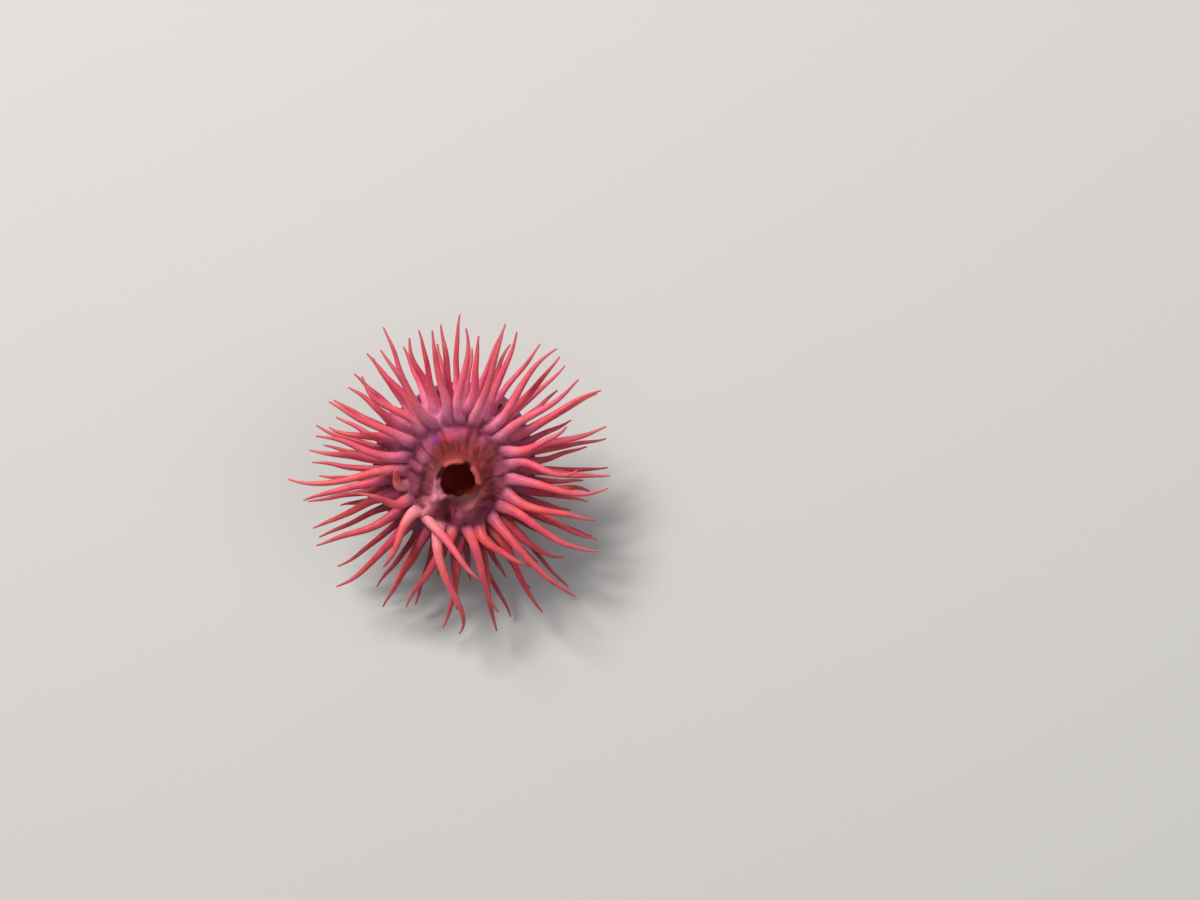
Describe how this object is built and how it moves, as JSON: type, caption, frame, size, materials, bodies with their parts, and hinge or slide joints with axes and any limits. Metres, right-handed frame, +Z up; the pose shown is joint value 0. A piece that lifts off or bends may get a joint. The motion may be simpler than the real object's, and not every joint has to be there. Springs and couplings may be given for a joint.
{
  "type": "beadlet anemone",
  "caption": "Still life-size beadlet anemone: flared foot, smooth leaning column, beaded collar and an open crown of long tapering tentacles round a domed disc with an open mouth.",
  "frame": {"origin": "centre of the flat sole of the foot, at the level of what the anemone rests on", "axes": "+Z up from the sole; the crown leans toward -Y; +X is on the right seen from the low side of the crown"},
  "size_m": [0.0718, 0.0718, 0.0455],
  "materials": {
    "tentacle_flesh": "wet translucent coral-pink flesh, crimson in the folds and paler toward the tips",
    "disc_flesh": "wet brown-red flesh with mauve-grey radial bands and violet flecks",
    "mouth_flesh": "wet dark maroon flesh, coral on the lips",
    "collar_flesh": "wet dark red flesh with blue beads",
    "column_flesh": "smooth wet brown-red flesh with a thin blue line at the foot's edge"
  },
  "bodies": {
    "root": {"foot": "column_flesh", "column_lower": "column_flesh", "column_upper": "column_flesh", "collar": "collar_flesh", "oral_disc": "disc_flesh", "lips": "mouth_flesh", "throat": "mouth_flesh", "tentacles_inner_01": "tentacle_flesh", "tentacles_outer_01": "tentacle_flesh", "tentacles_inner_02": "tentacle_flesh", "tentacles_outer_02": "tentacle_flesh", "tentacles_inner_03": "tentacle_flesh", "tentacles_outer_03": "tentacle_flesh", "tentacles_inner_04": "tentacle_flesh", "tentacles_outer_04": "tentacle_flesh", "tentacles_inner_05": "tentacle_flesh", "tentacles_outer_05": "tentacle_flesh", "tentacles_inner_06": "tentacle_flesh", "tentacles_outer_06": "tentacle_flesh", "tentacles_inner_07": "tentacle_flesh", "tentacles_outer_07": "tentacle_flesh", "tentacles_inner_08": "tentacle_flesh", "tentacles_outer_08": "tentacle_flesh", "tentacles_inner_09": "tentacle_flesh", "tentacles_outer_09": "tentacle_flesh", "tentacles_inner_10": "tentacle_flesh", "tentacles_outer_10": "tentacle_flesh", "tentacles_inner_11": "tentacle_flesh", "tentacles_outer_11": "tentacle_flesh", "tentacles_inner_12": "tentacle_flesh", "tentacles_outer_12": "tentacle_flesh", "tentacles_inner_13": "tentacle_flesh", "tentacles_outer_13": "tentacle_flesh", "tentacles_inner_14": "tentacle_flesh", "tentacles_outer_14": "tentacle_flesh", "tentacles_inner_15": "tentacle_flesh", "tentacles_outer_15": "tentacle_flesh", "tentacles_inner_16": "tentacle_flesh", "tentacles_outer_16": "tentacle_flesh", "tentacles_inner_17": "tentacle_flesh", "tentacles_outer_17": "tentacle_flesh", "tentacles_inner_18": "tentacle_flesh", "tentacles_outer_18": "tentacle_flesh", "tentacles_inner_19": "tentacle_flesh", "tentacles_outer_19": "tentacle_flesh", "tentacles_inner_20": "tentacle_flesh", "tentacles_outer_20": "tentacle_flesh", "tentacles_inner_21": "tentacle_flesh", "tentacles_outer_21": "tentacle_flesh", "tentacles_inner_22": "tentacle_flesh", "tentacles_outer_22": "tentacle_flesh", "tentacles_inner_23": "tentacle_flesh", "tentacles_outer_23": "tentacle_flesh", "tentacles_inner_24": "tentacle_flesh", "tentacles_outer_24": "tentacle_flesh"}
  },
  "joints": []
}
